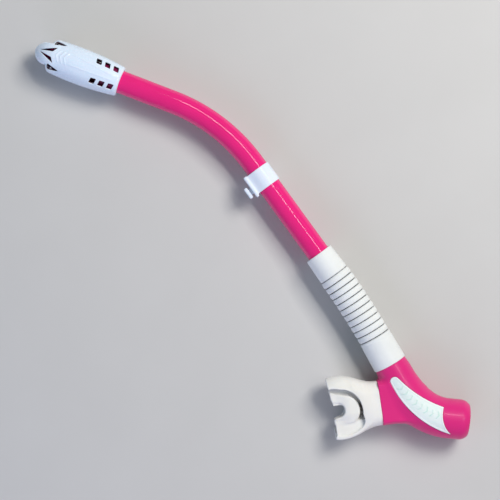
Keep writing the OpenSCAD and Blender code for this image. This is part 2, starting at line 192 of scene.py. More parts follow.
def field_surface(field, low, high, cell):
    """Points and quads of the surface where field is zero, by surface nets."""
    low, high = np.array(low, float), np.array(high, float)
    count = np.ceil((high - low) / cell).astype(int) + 1
    axes = [low[i] + cell * np.arange(count[i]) for i in range(3)]
    grid = np.meshgrid(*axes, indexing="ij")
    value = field(*grid)
    inside = value < 0
    cells = tuple(count - 1)
    total = np.zeros(cells + (3,))
    hits = np.zeros(cells)
    for axis in range(3):
        here, ahead = neighbours(axis, 3)
        crossing = inside[here] != inside[ahead]
        step = np.where(crossing, value[here] / np.where(crossing, value[here] - value[ahead], 1), 0)
        others = [i for i in range(3) if i != axis]
        for p in (0, 1):
            for q in (0, 1):
                pick = [slice(None)] * 3
                pick[others[0]] = slice(p, p + cells[others[0]])
                pick[others[1]] = slice(q, q + cells[others[1]])
                hit = crossing[tuple(pick)]
                hits += hit
                total[..., axis] += np.where(hit, step[tuple(pick)], 0)
                total[..., others[0]] += hit * p
                total[..., others[1]] += hit * q
    active = hits > 0
    index = np.full(cells, -1)
    index[active] = np.arange(active.sum())
    corner_of = np.stack(np.nonzero(active), 1)
    points = low + cell * (corner_of + total[active] / hits[active][:, None])
    quads = []
    for axis in range(3):
        others = [i for i in range(3) if i != axis]
        here, ahead = neighbours(axis, 3)
        rising = inside[here]
        where = np.stack(np.nonzero(rising != inside[ahead]), 1)
        for other in others:
            where = where[(where[:, other] > 0) & (where[:, other] < count[other] - 1)]
        ring = []
        for p, q in ((-1, -1), (0, -1), (0, 0), (-1, 0)):
            at = where.copy()
            at[:, others[0]] += p
            at[:, others[1]] += q
            ring.append(index[at[:, 0], at[:, 1], at[:, 2]])
        ring = np.stack(ring, 1)
        flip = rising[where[:, 0], where[:, 1], where[:, 2]] ^ (axis == 1)
        ring[~flip] = ring[~flip][:, ::-1]
        quads.append(ring)
    return points, np.concatenate(quads)


def settle(points, field, cell, rounds=3):
    """Moves points onto the zero surface along the field's gradient."""
    for _ in range(rounds):
        gradient = np.empty_like(points)
        for axis in range(3):
            shift = np.zeros(3)
            shift[axis] = 0.15 * cell
            ahead, behind = points + shift, points - shift
            gradient[:, axis] = (field(*ahead.T) - field(*behind.T)) / (0.3 * cell)
        size = np.maximum((gradient ** 2).sum(1), 0.04)
        move = (field(*points.T) / size)[:, None] * gradient
        length = np.linalg.norm(move, axis=1, keepdims=True)
        points = points - move * np.minimum(1, 0.4 * cell / np.maximum(length, 1e-9))
    return points


def added(name, data):
    """A new object in the scene."""
    obj = bpy.data.objects.new(name, data)
    bpy.context.scene.collection.objects.link(obj)
    return obj


def new_object(name, points, faces, place=None):
    """A smooth-shaded mesh object from points in millimetres."""
    mesh = bpy.data.meshes.new(name)
    co = np.asarray(points, float) * MM
    mesh.from_pydata(co.tolist(), [], np.asarray(faces).tolist())
    if place is not None:
        mesh.transform(place)
    mesh.validate()
    mesh.shade_smooth()
    return added(name, mesh)


def mark(obj, name, values):
    """Stores one number per vertex for the materials."""
    layer = obj.data.attributes.new(name, "FLOAT", "POINT")
    layer.data.foreach_set("value", np.asarray(values, np.float32))


def field_object(name, field, low, high, cell, place=None, marks=()):
    """Mesh of a distance field. Each of marks is a name and a function of the part's own coordinates."""
    points, quads = field_surface(field, low, high, cell)
    points = settle(points, field, cell)
    obj = new_object(name, points, quads, place)
    for key, value in marks:
        mark(obj, key, value(*points.T))
    return obj


def lathe(name, section, spine):
    """A tube with a wall: section is a closed loop of (run, radius), swept round a path by spine(run)."""
    turns = np.linspace(0, 2 * math.pi, AROUND, endpoint=False)
    up = np.array([0, 0, 1.0])
    points = []
    for run, radius in section:
        at, side = spine(run)
        points.append(at + radius * (np.cos(turns)[:, None] * side + np.sin(turns)[:, None] * up))
    rings = len(section)
    faces = []
    for i in range(rings):
        a, b = i * AROUND, (i + 1) % rings * AROUND
        for j in range(AROUND):
            k = (j + 1) % AROUND
            faces.append((a + j, b + j, b + k, a + k))
    return new_object(name, np.concatenate(points), faces)


def bent_spine(past, start, radius, bend, way):
    """Point and side direction on an axis that runs straight, bends toward +Y, and runs straight again.

    past is the run beyond the start of the bend, which lies at X = start. way is 1 for a run toward +X, -1 for -X.
    """
    angle = min(max(past / radius, 0), bend)
    at = np.array([start + way * radius * math.sin(angle), radius * (1 - math.cos(angle)), 0])
    beyond = min(past, 0) + max(past - radius * bend, 0)
    along = np.array([way * math.cos(angle), math.sin(angle), 0])
    return at + beyond * along, np.array([-along[1], along[0], 0])


def outward(obj):
    """Turns the faces of a closed mesh outward."""
    bm = bmesh.new()
    bm.from_mesh(obj.data)
    if bm.calc_volume(signed=True) < 0:
        bmesh.ops.reverse_faces(bm, faces=bm.faces)
        bm.to_mesh(obj.data)
    bm.free()
    return obj


def wall_section(outer, inner, edge):
    """Closed section of a tube wall from its outer and inner (run, radius) lines, with ends rounded by edge."""
    def rounded(corner_at, along, across):
        """Quarter round at a corner, from the side that lies along the wall."""
        c = np.array(corner_at) + edge * (np.array(along) + np.array(across))
        return [tuple(c - edge * (np.array(along) * math.sin(a) + np.array(across) * math.cos(a)))
                for a in np.linspace(0, math.pi / 2, 5)]
    loop = rounded(outer[0], (1, 0), (0, -1))[::-1]
    loop += outer[1:-1]
    loop += rounded(outer[-1], (-1, 0), (0, -1))
    loop += rounded(inner[-1], (-1, 0), (0, 1))[::-1]
    loop += inner[1:-1][::-1]
    loop += rounded(inner[0], (1, 0), (0, 1))
    return loop


# -------------------- materials

class Paint:
    """Builds a material from procedural nodes."""

    def __init__(self, name):
        self.mat = bpy.data.materials.new(name)
        self.mat.use_nodes = True
        self.tree = self.mat.node_tree
        self.shader = self.tree.nodes["Principled BSDF"]
        self.coords = self.tree.nodes.new("ShaderNodeTexCoord").outputs["Object"]

    def link(self, a, b):
        """Feeds output a into input b."""
        self.tree.links.new(a, b)

    def noise(self, scale, detail, rough, stretch=None):
        """Noise in object space, with scale in cycles per metre."""
        node = self.tree.nodes.new("ShaderNodeTexNoise")
        node.inputs["Scale"].default_value = scale
        node.inputs["Detail"].default_value = detail
        node.inputs["Roughness"].default_value = rough
        source = self.coords
        if stretch:
            mapping = self.tree.nodes.new("ShaderNodeMapping")
            mapping.inputs["Scale"].default_value = stretch
            self.link(self.coords, mapping.inputs["Vector"])
            source = mapping.outputs["Vector"]
        self.link(source, node.inputs["Vector"])
        return node.outputs["Fac"]

    def spread(self, value, low, high, to_low, to_high):
        """Maps low..high to to_low..to_high, clamped."""
        node = self.tree.nodes.new("ShaderNodeMapRange")
        for key, number in zip(("From Min", "From Max", "To Min", "To Max"), (low, high, to_low, to_high)):
            node.inputs[key].default_value = number
        self.link(value, node.inputs["Value"])
        return node.outputs["Result"]

    def math(self, kind, a, b):
        """Result of a Math node. Each of a and b is a number or an output."""
        node = self.tree.nodes.new("ShaderNodeMath")
        node.operation = kind
        for socket, item in zip(node.inputs, (a, b)):
            if isinstance(item, (int, float)):
                socket.default_value = item
            else:
                self.link(item, socket)
        return node.outputs["Value"]

    def mix(self, factor, a, b):
        """Colour a at factor 0, b at factor 1."""
        node = self.tree.nodes.new("ShaderNodeMix")
        node.data_type = "RGBA"
        node.clamp_factor = True
        self.link(factor, node.inputs["Factor"])
        # sockets 6 and 7 are the colour inputs of a Mix node, and output 2 is its colour
        for socket, item in zip((node.inputs[6], node.inputs[7]), (a, b)):
            if isinstance(item, tuple):
                socket.default_value = item + (1.0,)
            else:
                self.link(item, socket)
        return node.outputs[2]

    def attribute(self, name):
        """The number that mark() stored on the vertices."""
        node = self.tree.nodes.new("ShaderNodeAttribute")
        node.attribute_name = name
        return node.outputs["Fac"]

    def pointed(self, low, high, to_low, to_high):
        """How far the surface stands out (above 0.5) or in (below 0.5), mapped from low..high."""
        node = self.tree.nodes.new("ShaderNodeNewGeometry")
        return self.spread(node.outputs["Pointiness"], low, high, to_low, to_high)

    def bumps(self, *heights):
        """Stacks (value, strength, distance in mm) bumps."""
        normal = None
        for value, strength, distance in heights:
            node = self.tree.nodes.new("ShaderNodeBump")
            node.inputs["Strength"].default_value = strength
            node.inputs["Distance"].default_value = distance * MM
            self.link(value, node.inputs["Height"])
            if normal is not None:
                self.link(normal, node.inputs["Normal"])
            normal = node.outputs["Normal"]
        self.link(normal, self.shader.inputs["Normal"])

    def set(self, **values):
        """Sets inputs of the surface shader, with _ for a space. Each value is a number, a tuple or an output."""
        for key, value in values.items():
            socket = self.shader.inputs[key.replace("_", " ")]
            if isinstance(value, (int, float, tuple)):
                socket.default_value = value
            else:
                self.link(value, socket)


def plastic(name, base, shade, edge, rough, coat, glow, grain, inner_shade=None, drawn=False):
    """Moulded plastic: faint flow marks, fine scuffs, and worn outside edges.

    base and shade are mixed by the flow marks, and edge is the colour of worn edges. glow is the light that passes
    under the surface, and grain is the strength of the fine bumps. The colour for faces marked as inner is painted
    shade, a dark colour that stands in for the shade inside a hollow part.
    A drawn part has its flow marks and scuffs along its length.
    """
    p = Paint(name)
    flow = p.noise(scale=38, detail=4, rough=0.5, stretch=(1, 2.2, 2.2) if drawn else None)
    scuff = p.noise(scale=520, detail=2, rough=0.6, stretch=(0.25, 1, 1) if drawn else None)
    fine = p.noise(scale=1900, detail=2, rough=0.5)
    colour = p.mix(p.spread(flow, 0.35, 0.7, 0, 0.6), base, shade)
    colour = p.mix(p.math("MULTIPLY", p.pointed(0.52, 0.62, 0, 1), 0.35), colour, edge)
    # painted shade: faces marked as inner take a dark colour in place of the shade inside the part
    if inner_shade:
        colour = p.mix(p.attribute("inner"), colour, inner_shade)
    p.set(Base_Color=colour)
    haze = p.spread(scuff, 0.4, 0.75, rough - 0.015, rough + 0.035)
    p.set(Roughness=p.math("ADD", haze, p.spread(flow, 0.3, 0.7, -0.01, 0.015)))
    p.set(Coat_Weight=coat, Coat_Roughness=0.06, IOR=1.47, Subsurface_Weight=glow)
    p.set(Subsurface_Radius=(0.004, 0.002, 0.002), Subsurface_Scale=0.4)
    p.bumps((flow, 0.01 if drawn else 0.04, 0.06), (fine, grain, 0.01))
    return p


def silicone(name, base, shade, rough, glow, dirt=(0.42, 0.40, 0.36), tint_and_shade=None):
    """Soft silicone: cloudy, satin, with dirt in its hollows.

    Faces marked for the last colour take it: a real tint on the panels, and painted shade in the hose's grooves
    and deep round the mouthpiece's bite platform.
    """
    p = Paint(name)
    cloud = p.noise(scale=55, detail=4, rough=0.6)
    dust = p.noise(scale=340, detail=3, rough=0.65)
    fine = p.noise(scale=1500, detail=3, rough=0.6)
    colour = p.mix(p.spread(cloud, 0.35, 0.72, 0, 1), base, shade)
    soil = p.math("MULTIPLY", p.pointed(0.485, 0.42, 0, 0.45), p.spread(dust, 0.3, 0.7, 0.5, 1.0))
    colour = p.mix(soil, colour, dirt)
    # marked faces take the last colour: real tint on the panels, painted shade on the hose and the mouthpiece
    if tint_and_shade:
        patchy = p.spread(dust, 0.35, 0.6, 0.6, 1.0)
        colour = p.mix(p.math("MULTIPLY", p.attribute("tint_and_shade"), patchy), colour, tint_and_shade)
    p.set(Base_Color=colour)
    p.set(Roughness=p.spread(dust, 0.3, 0.75, rough - 0.06, rough + 0.1))
    p.set(IOR=1.41, Subsurface_Weight=glow, Subsurface_Radius=(0.004, 0.0035, 0.003), Subsurface_Scale=0.5)
    p.set(Coat_Weight=0.08, Coat_Roughness=0.3)
    p.bumps((cloud, 0.12, 0.3), (fine, 0.35, 0.03))
    return p


def coated(obj, paint):
    """Gives a remodelled part its material."""
    obj.data.materials.clear()
    obj.data.materials.append(paint.mat)
    return obj


def finished(obj, paint, body):
    """Gives a remodelled part its material and its moving body."""
    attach(coated(obj, paint), body)


# -------------------- places

BODY_PIVOT = np.array(joint("lower_turn")["pos_m"]) / MM
BODY_DIR = np.array(joint("lower_turn")["axis"])
CAP_DIR = np.array(joint("float_rise")["axis"])
UP = np.array([0, 0, 1.0])


def matrix(x_dir, y_dir, z_dir, at):
    """Matrix of an object with the given axes and place, in metres."""
    m = np.eye(4)
    m[:3, 0], m[:3, 1], m[:3, 2], m[:3, 3] = x_dir, y_dir, z_dir, at
    return Matrix(m.tolist())


def placed(origin, along):
    """Matrix that puts local +X along a direction in the snorkel's plane, +Z up. origin is in millimetres."""
    return matrix(along, np.cross(UP, along), UP, np.array(origin) * MM)


def cap_origin():
    """The lower end of the cap, on its axis."""
    side = np.cross(UP, CAP_DIR)
    shell = node_points("cap_shell")
    seat = node_points("seat_gasket") @ side
    return CAP_DIR * (shell @ CAP_DIR).min() + side * (seat.min() + seat.max()) / 2


CAP_PLACE = placed(cap_origin(), CAP_DIR)
BODY_PLACE = placed(BODY_PIVOT, BODY_DIR)


# -------------------- barrel

CAD_TUBE = node_points("barrel_tube")
TUBE_WALL = 1.5
TUBE_R = CAD_TUBE[:, 2].max()
BORE_R = TUBE_R - TUBE_WALL
# play between a tube and the part that is pushed on it
SOCKET_GAP = 0.05
LOWER_END = CAD_TUBE[:, 0].min()
BEND_START = 13.0
BEND_R = 144.0
BEND_ANGLE = math.atan2(CAP_DIR[1], CAP_DIR[0])
BEND_RUN = BEND_R * BEND_ANGLE
BEND_END = np.array([BEND_START + BEND_R * math.sin(BEND_ANGLE), BEND_R * (1 - math.cos(BEND_ANGLE)), 0])
# straight run from the bend to the cap's lower end, and on to the tube's own end inside the cap
TOP_RUN = float(np.linalg.norm(cap_origin() - BEND_END))
TUBE_IN_CAP = 16.8


def barrel_spine(run):
    """Point on the barrel's axis, and the side direction, at a run from the keeper."""
    return bent_spine(run - BEND_START, BEND_START, BEND_R, BEND_ANGLE, 1)


def make_barrel():
    """Bent tube, with rings closer together where it bends."""
    end = BEND_START + BEND_RUN + TOP_RUN + TUBE_IN_CAP
    runs = [LOWER_END, LOWER_END + 3] + list(np.linspace(-88, BEND_START, 12))
    runs += list(np.linspace(BEND_START, BEND_START + BEND_RUN, 40))[1:]
    runs += [end - TOP_RUN * f for f in (0.8, 0.6, 0.4, 0.2, 0.05)] + [end]
    section = wall_section([(r, TUBE_R) for r in runs], [(r, BORE_R) for r in runs], 0.45)
    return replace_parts(outward(lathe("barrel", section, barrel_spine)), "barrel_tube")


# -------------------- hose

CUFF_TOP = -77.3
RIB_START = -99.5
RIB_COUNT = 11
RIB_PITCH = 5.4
RIB_RUN = RIB_COUNT * RIB_PITCH
RIB_R = 13.0
# one rib and the groove after it: share of the pitch, and rise above the ribs' radius
RIB_SHAPE = ((0.04, -0.32), (0.08, -0.15), (0.14, -0.02), (0.25, 0.10), (0.40, 0.17), (0.55, 0.15), (0.70, 0.05),
             (0.80, -0.08), (0.845, -0.22), (0.87, -0.48), (0.885, -1.00), (0.90, -1.45), (0.93, -1.50),
             (0.96, -1.45), (0.975, -1.00), (0.99, -0.55))
# the ribs' radius grows by this much from the first to the last
RIB_SWELL = 0.15
TOP_CUFF = CUFF_TOP - RIB_START
LOWER_CUFF = 25.2
HOSE_RUN = TOP_CUFF + RIB_RUN + LOWER_CUFF
HOSE_BEND = math.radians(180 - math.degrees(math.atan2(BODY_DIR[1], BODY_DIR[0])))
HOSE_R = RIB_RUN / HOSE_BEND
HOSE_SPIGOT_R = 10.5
SPIGOT_DEPTH = 16.4
# runs and radii: the upper cuff widens downward to a lip and a groove, the lower cuff starts with two soft beads
UPPER_CUFF_SHAPE = ((0, 11.8), (1.6, 11.95), (8, 12.15), (16, 12.45), (19.6, 12.6), (20.6, 12.55), (21.2, 12.25),
                    (21.6, 12.2), (21.9, 12.6), (22.2, 12.75))
LOWER_CUFF_SHAPE = ((0.5, 13.2), (1.2, 13.42), (2.4, 13.42), (3.0, 13.3), (3.4, 13.3), (4.0, 13.46), (10, 13.6),
                    (20, 13.85), (LOWER_CUFF - 1.4, 13.95), (LOWER_CUFF, 13.95))


def hose_spine(run):
    """Point on the hose's axis, and the side direction, at a run from its top edge."""
    return bent_spine(run - TOP_CUFF, RIB_START, HOSE_R, HOSE_BEND, -1)


def make_hose():
    """Soft corrugated hose. The tube fills its upper end, and the lower body's spigot its lower end."""
    outer = list(UPPER_CUFF_SHAPE)
    for n in range(RIB_COUNT):
        low = TOP_CUFF + n * RIB_PITCH
        swell = RIB_SWELL * (n / (RIB_COUNT - 1) - 0.5)
        outer += [(low + part * RIB_PITCH, RIB_R + rise + swell) for part, rise in RIB_SHAPE]
    ribs_end = TOP_CUFF + RIB_RUN
    outer += [(ribs_end + run, radius) for run, radius in LOWER_CUFF_SHAPE]
    tube_end = CUFF_TOP - LOWER_END
    inner = [(0, TUBE_R + SOCKET_GAP), (tube_end, TUBE_R + SOCKET_GAP), (tube_end + 0.3, BORE_R)]
    inner += [(run, BORE_R) for run in np.linspace(TOP_CUFF, ribs_end, 12)]
    spigot_r = HOSE_SPIGOT_R + SOCKET_GAP
    inner += [(HOSE_RUN - SPIGOT_DEPTH, BORE_R), (HOSE_RUN - SPIGOT_DEPTH + 0.3, spigot_r), (HOSE_RUN, spigot_r)]
    section = wall_section(outer, inner, 0.55)
    hose = outward(lathe("hose", section, hose_spine))
    # the grooves between the ribs are marked for painted shade, a near black colour deep in each groove
    runs, radii = np.array(section).T
    ribbed = (runs > TOP_CUFF - 1.6) & (runs < ribs_end + 0.6) & (radii > BORE_R + 1)
    groove_shade = np.where(ribbed, smooth_step(RIB_R - 0.15 - radii, 0.15, 0.75), 0)
    mark(hose, "tint_and_shade", np.repeat(groove_shade, AROUND))
    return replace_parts(hose, "flex_hose")


# -------------------- cap

# in the cap's own place: s is the run from its lower end, w and z lie across its axis, w in the snorkel's plane
CAP_WALL = 1.5
SHOULDER_AT, SHOULDER_R = 57.0, 4.7
NOSE_AT, NOSE_R = 64.6, 9.2
# the crest's profile: an arc that is tangent to the cap's side and to the nose
CREST_S, CREST_R, CREST_BEND = 55.86, -5.05, 19.3
CREST_TURN = math.radians(43)
CAP_TABLE = (-3, -2), (78, 18)
# solid stem inside the nose, with a blind hole for the splash guard's pin
STEM_R, STEM_AT = 3.6, 69.2
PIN_HOLE_R, PIN_HOLE_AT, PIN_HOLE_HALF = 2.05, 69.5, 1.6
# drain slots: half sizes and corner radius, place of the first, pitch, and angle of a row from the face's middle
SLOT_SIZE = 2.2, 2.6, 0.6
SLOT_AT, SLOT_PITCH, SLOT_SKEW = 5.9, 7.35, 0.22
SLOT_TURN = math.radians(36.5)
# side vents: where they start and end, and the angle of their middle and half width in degrees
VENT_LOW, VENT_HIGH = 49.3, 59.6
VENT_TURN, VENT_SPREAD = 49, 14.5


def cap_curve(s):
    """Outside radius of the cap up to its shoulder."""
    return 14.9 - (s - 37) ** 2 / 500


def arc(cx, cy, r, start, end, steps):
    """Points round a centre, with angles in degrees from the second axis toward the first."""
    return [(cx + r * math.sin(math.radians(a)), cy + r * math.cos(math.radians(a)))
            for a in np.linspace(start, end, steps)]


def cap_profile(inset):
    """Half section of the cap as a closed outline in (run, radius). With an inset it is that of the hollow."""
    low = 2.6 if inset else 0.0
    edge = 2.2
    points = [(low, -1.0)]
    points += arc(low + edge, cap_curve(edge) - edge - inset, edge, -90, 0, 7)
    points += [(s, cap_curve(s) - inset) for s in np.linspace(6, 54, 25)]
    points += arc(SHOULDER_AT, cap_curve(SHOULDER_AT) - SHOULDER_R, SHOULDER_R - inset, 4, 84, 9)
    points += [(s - inset, NOSE_R - 0.3 - inset) for s in (62.0, 62.8)]
    points += arc(NOSE_AT, 0, NOSE_R - inset, -6, 90, 16)
    points.append((NOSE_AT + NOSE_R - inset, -1.0))
    return points


def cap_relief(s, w):
    """Raised lines on the cap's faces: two long ones, and three chevrons under the crest."""
    height = np.zeros(np.shape(s))
    for top, bottom in ((-6.2, -0.6), (3.4, 2.4)):
        at = bottom + (top - bottom) * np.clip(s / 46, 0, 1)
        line = np.exp(-((w - at) / 0.65) ** 2) * smooth_step(s, 3, 9) * (1 - smooth_step(s, 38, 46))
        height = height + 0.32 * line
    for n in range(3):
        across = s - 54.5 + 3.4 * n + 0.55 * np.abs(w + 0.6)
        line = np.exp(-(across / 0.6) ** 2) * (1 - smooth_step(np.abs(w + 0.6), 4.2, 5.8))
        height = height + 0.3 * line
    return height


CAP_OUTSIDE = polygon_table(cap_profile(0), *CAP_TABLE)
CAP_HOLLOW = polygon_table(cap_profile(CAP_WALL), *CAP_TABLE)


def cap_skin(s, w, z):
    """Outside of the cap, where the crest of each face runs on to the nose and the sides are notched."""
    r = np.hypot(w, z)
    turn = np.abs(np.arctan2(w, np.abs(z)))
    crest = np.hypot(s - CREST_S, r - CREST_R) - CREST_BEND
    crest = meet(crest, (turn - CREST_TURN) * r, 1.2)
    return join(CAP_OUTSIDE(s, r), np.maximum(crest, 54 - s), 0.8)


def cap_shade(s, w, z):
    """Mask of the painted shade: 1 on the cap's inner faces and window walls, 0 on its skin."""
    return smooth_step(-cap_skin(s, w, z), 0.45, 1.1)


def nose_windows(s, w, z):
    """A pair of vent windows beside the crest of each face, with their points at the nose."""
    lean = np.abs(w)
    inner_edge = 0.75 + 0.165 * (67.7 - s) - lean
    outer_edge = lean - 0.95 - 0.43 * (68.2 - s)
    base = 57.9 - 0.63 * (lean - 2.4) - s
    return np.maximum.reduce([inner_edge, outer_edge, base, 3 - np.abs(z)])


def side_vents(s, r, turn):
    """A tapered vent at each side of a face."""
    half = VENT_SPREAD * np.clip((s - VENT_LOW) / 9.9, 0, 1) ** 0.8
    off = np.abs(np.degrees(np.abs(turn)) - VENT_TURN)
    vent = np.maximum.reduce([(off - half) * 0.23, VENT_LOW - s, s - VENT_HIGH + 0.05 * off])
    return np.maximum(vent, 7.5 - r)


def cap_field(s, w, z):
    """Vented shell, open at its lower end. A short stem under the nose holds the splash guard."""
    r = np.hypot(w, z)
    turn = np.arctan2(w, np.abs(z))
    f = cap_skin(s, w, z)
    f = f - cap_relief(s, w) * smooth_step(np.abs(z), 5, 8)
    under_crest = np.maximum.reduce([np.hypot(s - CREST_S, r - CREST_R) - CREST_BEND + CAP_WALL,
                                     (np.abs(turn) - CREST_TURN) * r + CAP_WALL, 56 - s])
    hollow = np.minimum(CAP_HOLLOW(s, r), under_crest)
    hollow = np.maximum(hollow, -np.maximum(r - STEM_R, STEM_AT - s))
    f = cut(f, hollow, 0.15)
    f = cut(f, np.maximum(r - PIN_HOLE_R, np.abs(s - PIN_HOLE_AT) - PIN_HOLE_HALF), 0.05)
    f = cut(f, np.maximum(r - TUBE_R - SOCKET_GAP, s - 6), 0.3)
    # drain slots, two rows on each face, a little skewed
    for row in (-1, 1):
        across = (turn - row * SLOT_TURN) * r
        for n in range(3):
            along = s - SLOT_AT - SLOT_PITCH * n - row * SLOT_SKEW * across
            f = cut(f, np.maximum(box2(along, across, *SLOT_SIZE), 9.6 - r), 0.2)
    f = cut(f, nose_windows(s, w, z), 0.15)
    return cut(f, side_vents(s, r, turn), 0.2)


def make_cap():
    low, high = (-0.8, -15.8, -15.8), (74.6, 15.8, 15.8)
    # the faces marked as inner are painted dark, as painted shade
    cap = field_object("cap", cap_field, low, high, CAP_CELL, CAP_PLACE, [("inner", cap_shade)])
    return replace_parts(cap, "cap_shell")


# -------------------- keeper

def block(x, y, z, low, high, r):
    """Box with round edges."""
    d = [np.abs(p - (a + b) / 2) - (b - a) / 2 + r for p, a, b in zip((x, y, z), low, high)]
    outside = np.sqrt(sum(np.maximum(q, 0) ** 2 for q in d))
    return outside + np.minimum(np.maximum.reduce(d), 0) - r


KEEPER_WALL = 0.98
KEEPER_BAND = -9.55, 7.15
# low corner, high corner and edge radius
LIP_PLATE = (-11.4, 11.3, -7), (7.6, 13.6, 7), 0.8
BUTTON_NECK = (-7.1, 10, -2), (-2.1, 18, 2), 0.6
BUTTON_HEAD = (-9.5, 16.0, -6), (0.3, 18.8, 6), 1.05


def keeper_field(x, y, z):
    """Band round the barrel, lip plate on the wearer's side, and the T-shaped strap button."""
    r = np.hypot(y, z)
    web = box2(y - 6.4, z, 6.4, 6.2, 1.0)
    ring = join(r - TUBE_R - KEEPER_WALL, web, 3.2)
    band = corner(ring, slab(x, *KEEPER_BAND), 0.55)
    f = join(band, block(x, y, z, *LIP_PLATE), 1.6)
    f = join(f, block(x, y, z, *BUTTON_NECK), 1.0)
    f = join(f, block(x, y, z, *BUTTON_HEAD), 0.9)
    return cut(f, r - TUBE_R - SOCKET_GAP, 0.25)


def make_keeper():
    low, high = (-12.4, -11.4, -11.4), (8.6, 19.8, 11.4)
    keeper = field_object("keeper", keeper_field, low, high, KEEPER_CELL)
    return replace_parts(keeper, "strap_keeper")


# -------------------- lower body

# in the body's own place: x is the run from the hose's spigot, y lies across in the snorkel's plane
NECK_END = 25.3
DUCT_BEND_R = 45.0
DUCT_BEND = math.radians(54)
DRUM_START = NECK_END + DUCT_BEND_R * DUCT_BEND
DRUM_END = DRUM_START + 18.0
DRUM_EDGE = 6.2
# the duct's radius at the hose, and how much it grows at its neck and toward the drum
DUCT_R, NECK_SWELL, DRUM_SWELL = 13.15, 0.95, 2.15
DUCT_WALL = 2.3
PURGE_R = 12.6
# the mouthpiece's port: u runs out of it, v lies across it in the snorkel's plane
PORT_AT = np.array([23.1, -23.1])
PORT_TURN = math.radians(-111.7)
PORT_W, PORT_H = 35.9, 24.0
PORT_SHIFT = Matrix.Translation((PORT_AT[0] * MM, PORT_AT[1] * MM, 0))
PORT_PLACE = BODY_PLACE @ PORT_SHIFT @ Matrix.Rotation(PORT_TURN, 4, "Z")
PORT_AIR = 12.9, 7.0, 5.5
# the hollow arc on the branch's purge side: its radius and where it starts
FAIR_R, FAIR_U = 26.5, -8.0
# how far a spigot stands in from the outside
SPIGOT_STEP = 2.5


def duct_run(x, y):
    """Run along the duct and offset from its axis, in the snorkel's plane."""
    cx, cy = NECK_END, DUCT_BEND_R
    angle = np.arctan2(x - cx, cy - y)
    reach = np.hypot(x - cx, y - cy)
    sin_b, cos_b = math.sin(DUCT_BEND), math.cos(DUCT_BEND)
    past = (x - cx) * cos_b + (y - cy) * sin_b
    run = np.where(x < cx, x, np.where(angle < DUCT_BEND, cx + DUCT_BEND_R * angle, DRUM_START + past))
    off = np.where(x < cx, y, np.where(angle < DUCT_BEND, DUCT_BEND_R - reach,
                                       DUCT_BEND_R + (y - cy) * cos_b - (x - cx) * sin_b))
    return run, off


def duct_radius(run):
    """Outside radius of the duct, which swells from the hose to the drum."""
    return DUCT_R + NECK_SWELL * smooth_step(run, -2, 9) + DRUM_SWELL * smooth_step(run, 13, 35)


def to_port(x, y):
    """The port's own u and v of a point."""
    dx, dy = x - PORT_AT[0], y - PORT_AT[1]
    c, s = math.cos(PORT_TURN), math.sin(PORT_TURN)
    return dx * c + dy * s, -dx * s + dy * c


def duct_skin(x, y, z):
    """Side wall of the duct, with no ends."""
    run, off = duct_run(x, y)
    return np.hypot(off, z) - duct_radius(run)


def body_skin(x, y, z):
    """Outside of the duct and its branch, closed at the three openings."""
    run, off = duct_run(x, y)
    r = np.hypot(off, z)
    duct = r - duct_radius(run)
    # the drum's rim is rounded, and its end face is slightly domed
    duct = corner(duct, run - DRUM_END - 1.2 + 0.013 * r * r, DRUM_EDGE)
    duct = corner(duct, 0.05 - run, 0.35)
    u, v = to_port(x, y)
    # the branch's purge side is straight at the port, then a hollow arc that dives into the duct before it ends
    hollow = FAIR_R - np.hypot(u - FAIR_U, v - PORT_W / 2 - FAIR_R)
    purge_side = np.where(u > FAIR_U, v - PORT_W / 2, hollow) + 2.4 * smooth_step(-u, 13, 25)
    plan = meet(meet(purge_side, -PORT_W / 2 - v, 2), -25.5 - u, 4)
    plan = meet(plan, -19 - 0.35 * (v + 18) - u, 4)
    # flat top with a crease, then a round side
    half = PORT_H / 2 - 1.2 * smooth_step(-u, 8, 30)
    branch = corner(plan, np.abs(z) - half - 2.2, 8.5)
    branch = meet(branch, np.abs(z) - half, 0.25)
    branch = corner(branch, u, 0.3)
    return join(duct, branch, 4.2)


# the side panel's outline: centre and radius of its tip, of each long side and of the hollow in its wide end
LEAF_TIP = 12.6, -4.3, 3.6
LEAF_LONG_SIDE = 17.7, 72, 80.1
LEAF_SHORT_SIDE = -11.4, 90.5, 94.1
LEAF_END = 65.4, 32.1, 19.85
LEAF_LIMIT = 73
PANEL_BED = 0.9


def leaf(x, y):
    """Outline of the side panel: a rounded end at the hose, two points at the drum."""
    sides = np.maximum(disc(x, y, *LEAF_LONG_SIDE), -disc(x, y, *LEAF_SHORT_SIDE))
    blade = np.maximum.reduce([sides, -disc(x, y, *LEAF_END), LEAF_TIP[0] - x, x - LEAF_LIMIT])
    return np.minimum(blade, disc(x, y, *LEAF_TIP))


def leaf_table(step=0.25):
    """The leaf outline as a true distance, found from its own zero line on a fine grid."""
    xs, ys = np.arange(4, 78, step), np.arange(-14, 32, step)
    grid = np.meshgrid(xs, ys, indexing="ij")
    value = leaf(*grid)
    inside = value < 0
    rim = []
    for axis in (0, 1):
        here, ahead = neighbours(axis, 2)
        hit = inside[here] != inside[ahead]
        t = value[here][hit] / (value[here][hit] - value[ahead][hit])
        points = np.stack([g[here][hit] for g in grid], 1)
        points[:, axis] += t * step
        rim.append(points)
    rim = np.concatenate(rim)
    best = np.full(value.shape, 1e9)
    for start in range(0, len(rim), 32):
        chunk = rim[start:start + 32]
        gaps = np.hypot(grid[0][..., None] - chunk[:, 0], grid[1][..., None] - chunk[:, 1])
        best = np.minimum(best, gaps.min(-1))
    return grid_reader(np.where(inside, -best, best), (xs[0], ys[0]), step)


LEAF = leaf_table()


